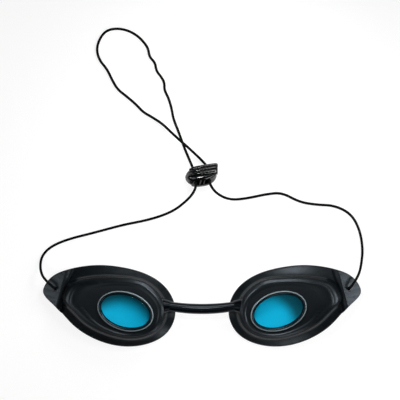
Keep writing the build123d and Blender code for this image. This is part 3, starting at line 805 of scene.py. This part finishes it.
for side, sign in SIDES.items():
    ovals = [(LENS_HALF[0] + grow, LENS_HALF[1] + grow, z) for grow, z in LENS_LEVELS]
    lens = oval_plate(f"blue_lens_{side}", ovals, (sign * LENS_CENTRE[0], LENS_CENTRE[1]),
                      sign * LENS_TILT)
    for material in (lens_front, lens_backs[side], lens_rim):
        lens.data.materials.append(material)
    for face in lens.data.polygons:
        if face.center.z < BACK_BELOW * MM:
            face.material_index = 1
        elif face.center.z < DARK_RIM_BELOW * MM:
            face.material_index = 2
    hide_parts(f"lens_{side}")
    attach(lens, f"{side}_cup")
    print(lens.name, "inked faces", sum(f.material_index == 2 for f in lens.data.polygons))

# %% [markdown]
# ## The nose bar
#
# The bar is a short length of smooth black rubber rod, pushed into a socket on
# each cup. It is a little thicker in its middle. When the goggles wrap round
# the face it bends at both cups; here it is built as two halves that meet in
# the middle.
#
# The cups are dressed here too. Their solids have the right shape but for the
# sockets, which are blunt collars. New collars could be built over them, but
# a seam would show, so each cup is a copy of its solid whose socket tapers
# down to the bar and takes the bar's finish.

# %% Smooth rubber
# Extruded rubber, IOR 1.52, soft gloss: a long highlight with soft ends. Its
# skin is cloudy at about 1 mm.
SKIN = 1.2 * MM


def smooth_rubber():
    """Smooth black rubber with a soft gloss."""
    material, tree = new_material("Extruded rubber, smooth, black")
    place = add(tree, "TexCoord").outputs["Object"]
    skin = add(tree, "TexNoise", {"Vector": place, "Scale": 1 / SKIN, "Detail": 3.0})
    bump = add(tree, "Bump", {"Height": skin, "Distance": 0.008 * MM, "Strength": 0.3})
    rough = add(tree, "MapRange", {"Value": skin, "To Min": 0.18, "To Max": 0.24})
    shader = add(tree, "BsdfPrincipled", {
        "Base Color": linear("#030508"), "Roughness": rough, "Normal": bump, "IOR": 1.52,
        "Specular IOR Level": 0.15, "Specular Tint": linear("#e4f3ff")})
    add(tree, "OutputMaterial", {"Surface": shader})
    return material


bar_finish = smooth_rubber()
print("material", bar_finish.name)

# %% Where the bar runs, in millimetres
BAR_HEIGHT = 6.0
BAR_ARC_RADIUS = 85.0
BAR_MIDDLE_Y = -1.05
BAR_ARC_END = 12.0  # from the middle to where the straight plug starts
BAR_PLUG = 5.4  # length of the plug
bar_slope = BAR_ARC_END / BAR_ARC_RADIUS
bar_rise = BAR_ARC_RADIUS - (BAR_ARC_RADIUS**2 - BAR_ARC_END**2) ** 0.5


def plug_way(sign):
    """The way in which the plug on one side runs."""
    return Vector((sign * cos(bar_slope), sin(bar_slope), 0))


print("the bar rises by", round(bar_rise, 2), "mm to each plug")

# %% Copies of solids
SHARP = radians(35)  # edges over this angle stay sharp


def dressed_copy(name, mesh, finish):
    """A piece with a mesh that was copied from a solid and then reshaped."""
    if "custom_normal" in mesh.attributes:
        mesh.attributes.remove(mesh.attributes["custom_normal"])
    mesh.shade_smooth()
    mesh.set_sharp_from_angle(angle=SHARP)
    piece = in_scene(name, mesh)
    paint(piece, finish)
    return piece


print("copy helper ready")

# %% Cups with tapered sockets
SOCKET = (2.2, 3.6)  # mm from the bar's axis, the socket's skin before it tapers
SOCKET_MOUTH = 14.3  # mm from the middle, all of the socket's mouth is nearer
SOCKET_END = 16.8  # mm from the middle, where it has met the cup's wall
MOUTH_LEFT = 0.15  # share of the socket's wall that is left at its mouth


def dressed_cup(side, sign):
    """A copy of one cup's solid, its socket tapered and in the bar's finish."""
    node = frame["nodes"][f"eye_cup_{side}"]
    mesh = node.data.copy()
    run = plug_way(sign)
    start = Vector((sign * BAR_ARC_END, BAR_MIDDLE_Y + bar_rise, BAR_HEIGHT))

    def off_axis(place):
        """How far from the bar's axis, in millimetres, as a vector."""
        away = place / MM - start
        return away - run * away.dot(run)

    tapered = 0
    for vertex in mesh.vertices:
        off = off_axis(vertex.co)
        if SOCKET[0] < off.length < SOCKET[1] and abs(vertex.co.x) < SOCKET_MOUTH * MM:
            reach = SOCKET[0] + (off.length - SOCKET[0]) * MOUTH_LEFT
            vertex.co += (off.normalized() * reach - off) * MM
            tapered += 1
    piece = dressed_copy(f"soft_cup_{side}", mesh, cup_finish)
    mesh.materials.append(bar_finish)
    for face in mesh.polygons:
        near = off_axis(face.center).length < SOCKET[1]
        face.material_index = int(near and abs(face.center.x) < SOCKET_END * MM)
    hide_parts(node.name)
    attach(piece, f"{side}_cup")
    print(piece.name, len(mesh.polygons), "faces,", tapered, "points tapered")


for side, sign in SIDES.items():
    dressed_cup(side, sign)

# %% Two halves of the bar, in millimetres
BAR_RADIUS = 2.16  # in the middle
BAR_THINNER = 0.12  # at the end of the arc
BAR_MEAN = 2.1  # for the tube's map alone
ARC_STEPS = 24
PLUG_SHAPE = (  # share of the plug's length, and the radius there
    (0.3, 2.04), (0.6, 2.04), (0.92, 2.04), (0.98, 1.9), (1.0, 1.6),
)


def bar_half(side, sign):
    """Half of the bar, from the middle of the nose to the end of its plug."""
    line, radii = [], []
    for step in range(ARC_STEPS + 1):
        x = BAR_ARC_END * step / ARC_STEPS
        y = BAR_MIDDLE_Y + BAR_ARC_RADIUS - (BAR_ARC_RADIUS**2 - x**2) ** 0.5
        line.append(metres((sign * x, y, BAR_HEIGHT)))
        radii.append((BAR_RADIUS - BAR_THINNER * (step / ARC_STEPS) ** 2) * MM)
    start = line[-1]
    for share, radius in PLUG_SHAPE:
        line.append(start + plug_way(sign) * BAR_PLUG * share * MM)
        radii.append(radius * MM)
    half = tube(f"nose_bar_{side}", line, BAR_MEAN * MM, sides=40, radii=radii)
    paint(half, bar_finish)
    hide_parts("nose_bridge")
    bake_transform(half)
    print(half.name, round(length_of(line) / MM, 1), "mm")


for side, sign in SIDES.items():
    bar_half(side, sign)

# %% [markdown]
# ## The cord lock
#
# Body and button are moulded acetal, a slippery plastic with a wet gloss. The
# solids carry the ridges, the window with its ribs and the rails, but their
# ends are squarer than the real ones, which are rounded like a bean. Smoothing
# would round the ridges off too. So each solid is copied, sliced across, and
# drawn in towards its end as an ellipse is, ridges and all.
# Between the button's first bar and the post sits a small coil spring. It is
# wound here as a tube along a helix.

# %% Polished acetal
# Acetal, IOR 1.48, straight from a polished mould: sharp, wet highlights that
# fine scuffs of under 1 mm break up.
SCUFF = 0.8 * MM


def polished_acetal():
    """Black glossy acetal."""
    material, tree = new_material("Acetal, moulded, black")
    place = add(tree, "TexCoord").outputs["Object"]
    scuff = add(tree, "TexNoise", {"Vector": place, "Scale": 1 / SCUFF, "Detail": 4.0})
    rough = add(tree, "MapRange", {"Value": scuff, "To Min": 0.05, "To Max": 0.12})
    shader = add(tree, "BsdfPrincipled", {
        "Base Color": linear("#040607"), "Roughness": rough, "IOR": 1.48,
        "Specular IOR Level": 0.6})
    add(tree, "OutputMaterial", {"Surface": shader})
    return material


lock_finish = polished_acetal()
print("material", lock_finish.name)

# %% How the lock is drawn in
# Each end is drawn in from so many millimetres off the lock's middle, over so
# many more, and by this power, where 2 is an ellipse.
DOME = (0.5, 6.6, 2.5)  # the button's end
HEEL = (0.5, 6.0, 2.0)  # the body's far end, on its lower side alone
LEAST = 0.16  # share of the width that is left at the very end


def in_lock(along, cord, up):
    """A point given in millimetres in the lock's own directions."""
    return metres(lock_centre + lock_long * along + lock_cord * cord + lock_up * up)


def ease(value, low, high):
    """Rises smoothly from 0 at low to 1 at high."""
    share = min(max((value - low) / (high - low), 0.0), 1.0)
    return share * share * (3 - 2 * share)


def drawn_in(distance, start, reach, power):
    """Share of the width that is left at a distance from the middle."""
    share = min(max(distance - start, 0.0) / reach, 1.0)
    return max(LEAST, (1 - share**power) ** 0.5)


print("share of the width left 5 mm out", round(drawn_in(5, *DOME), 2))

# %% Round the lock like a bean
SLICE = 0.45  # mm between the cuts across the lock
SLICES = 15  # cuts on each side of the middle
UPPER_SIDE = (-1.5, 1.5)  # mm across, from fully drawn in to not at all
LEAN = 0.2  # the far end's upper lip leans out by this share of its height
LEAN_ALONG = (1.5, 6.5)  # mm along, where the lean starts and is full
PRESS = 1.2  # mm that the button travels into the body
ON_CUT = 1e-7  # m; points this near to a cut count as on it


def bean(name, node, body, travel):
    """A copy of one of the lock's solids, drawn in so that it clears over its travel."""
    mesh = frame["nodes"][node].data.copy()
    work = bmesh.new()
    work.from_mesh(mesh)
    for cut in range(-SLICES, SLICES + 1):
        everything = work.verts[:] + work.edges[:] + work.faces[:]
        bmesh.ops.bisect_plane(work, geom=everything, dist=ON_CUT,
                               plane_co=in_lock(cut * SLICE, 0, 0), plane_no=lock_long)
    for vertex in work.verts:
        away = vertex.co / MM - lock_centre
        along, cord, up = away.dot(lock_long), away.dot(lock_cord), away.dot(lock_up)
        # The same place across the lock, turned back level: sideways and high
        across = cord * cos(LOCK_ROLL) + up * sin(LOCK_ROLL)
        high = up * cos(LOCK_ROLL) - cord * sin(LOCK_ROLL)
        if along < 0:
            across *= drawn_in(-along, *DOME)
            high *= drawn_in(-along, *DOME)
        else:
            kept = drawn_in(along + travel, *HEEL)
            across *= kept + (1 - kept) * ease(across, *UPPER_SIDE)
            along += LEAN * max(across, 0.0) * ease(along, *LEAN_ALONG)
        cord = across * cos(LOCK_ROLL) - high * sin(LOCK_ROLL)
        up = across * sin(LOCK_ROLL) + high * cos(LOCK_ROLL)
        vertex.co = in_lock(along, cord, up)
    work.to_mesh(mesh)
    work.free()
    piece = dressed_copy(name, mesh, lock_finish)
    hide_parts(node)
    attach(piece, body)
    print(piece.name, len(mesh.polygons), "faces")


bean("lock_bean", "lock_body", "lock", 0.0)
bean("lock_button", "lock_plunger", "plunger", PRESS)

# %% Drawn spring steel
# Spring wire is drawn through dies: bright metal with faint lines along it.
DRAW_LINE = (3 * MM, 0.06 * MM)  # length and width of a line


def spring_steel():
    """Bright drawn steel wire."""
    material, tree = new_material("Spring steel, drawn")
    lines = add(tree, "Mapping", {
        "Vector": add(tree, "UVMap", uv_map="way"),
        "Scale": (1 / DRAW_LINE[0], 1 / DRAW_LINE[1], 1.0)})
    draw = add(tree, "TexNoise", {"Vector": lines, "Scale": 1.0, "Detail": 2.0})
    rough = add(tree, "MapRange", {"Value": draw, "To Min": 0.2, "To Max": 0.4})
    shader = add(tree, "BsdfPrincipled", {
        "Base Color": linear("#b9bbbe"), "Metallic": 1.0, "Roughness": rough})
    add(tree, "OutputMaterial", {"Surface": shader})
    return material


spring_finish = spring_steel()
print("material", spring_finish.name)

# %% Wind the spring, in millimetres
SPRING_RADIUS = 1.15
SPRING_WIRE = 0.2  # radius of the wire
SPRING_ENDS = (-1.63, 1.63)  # along the lock from its middle
SPRING_TURNS = 2.5
SPRING_STEPS = 120
coil = SPRING_ENDS[1] - SPRING_ENDS[0] - 2 * SPRING_WIRE

helix = []
for step in range(SPRING_STEPS + 1):
    share = step / SPRING_STEPS
    turn = 2 * pi * SPRING_TURNS * share
    helix.append(in_lock(SPRING_ENDS[0] + SPRING_WIRE + coil * share,
                         SPRING_RADIUS * sin(turn), SPRING_RADIUS * cos(turn)))
spring = tube("coil_spring", helix, SPRING_WIRE * MM, sides=12)
paint(spring, spring_finish)
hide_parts("lock_spring")
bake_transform(spring)
print("spring wire", round(length_of(helix) / MM, 1), "mm")

# %% [markdown]
# ## The stop knots
#
# Behind each tab the cord ends in an overhand knot, pulled tight, with a short
# tail. It shows only where a cup tilts, and a bead would nearly do, but an
# overhand knot is easy to draw: it is an opened trefoil, a line that goes
# round twice while it rises and falls three times. The cord's own tube
# follows it.

# %% Tie the knots, in millimetres
KNOT_MIDDLE = 1.43  # above the ground
KNOT_WIDTH = 0.27  # the trefoil reaches three times as far from its middle
KNOT_RISE = 0.52
KNOT_OPENING = 75  # degrees, where the line starts
KNOT_ROUND = 300  # degrees, how far it goes round
KNOT_STEPS = 16
KNOT_TAIL = 2.6


def knot_line(sign):
    """Points along an opened trefoil under the tab's hole, then along its tail."""
    route = [(0.0, 0.0, 1.05), (0.02, 0.0, 0.85)]
    for step in range(KNOT_STEPS + 1):
        turn = radians(KNOT_OPENING + KNOT_ROUND * step / KNOT_STEPS)
        route.append((
            KNOT_WIDTH * (sin(turn) + 2 * sin(2 * turn)),
            KNOT_WIDTH * (cos(turn) - 2 * cos(2 * turn)),
            KNOT_RISE * sin(3 * turn),
        ))
    route += [(0.1, -1.1, 0.0), (0.05, -KNOT_TAIL, -0.1)]
    hole = Vector((*TAB_HOLE, KNOT_MIDDLE))
    return smooth_line([(sign * (hole.x + x), hole.y + y, hole.z + z) for x, y, z in route],
                       resolution=4)


for side, sign in SIDES.items():
    knot = tube(f"stop_knot_{side}", knot_line(sign), CORD / 2, sides=12)
    paint(knot, cord_finish)
    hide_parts(f"knot_{side}")
    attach(knot, f"{side}_cup")
    heights = [v.co.z / MM for v in knot.data.vertices]
    print(knot.name, "from", round(min(heights), 2), "to", round(max(heights), 2), "mm up")
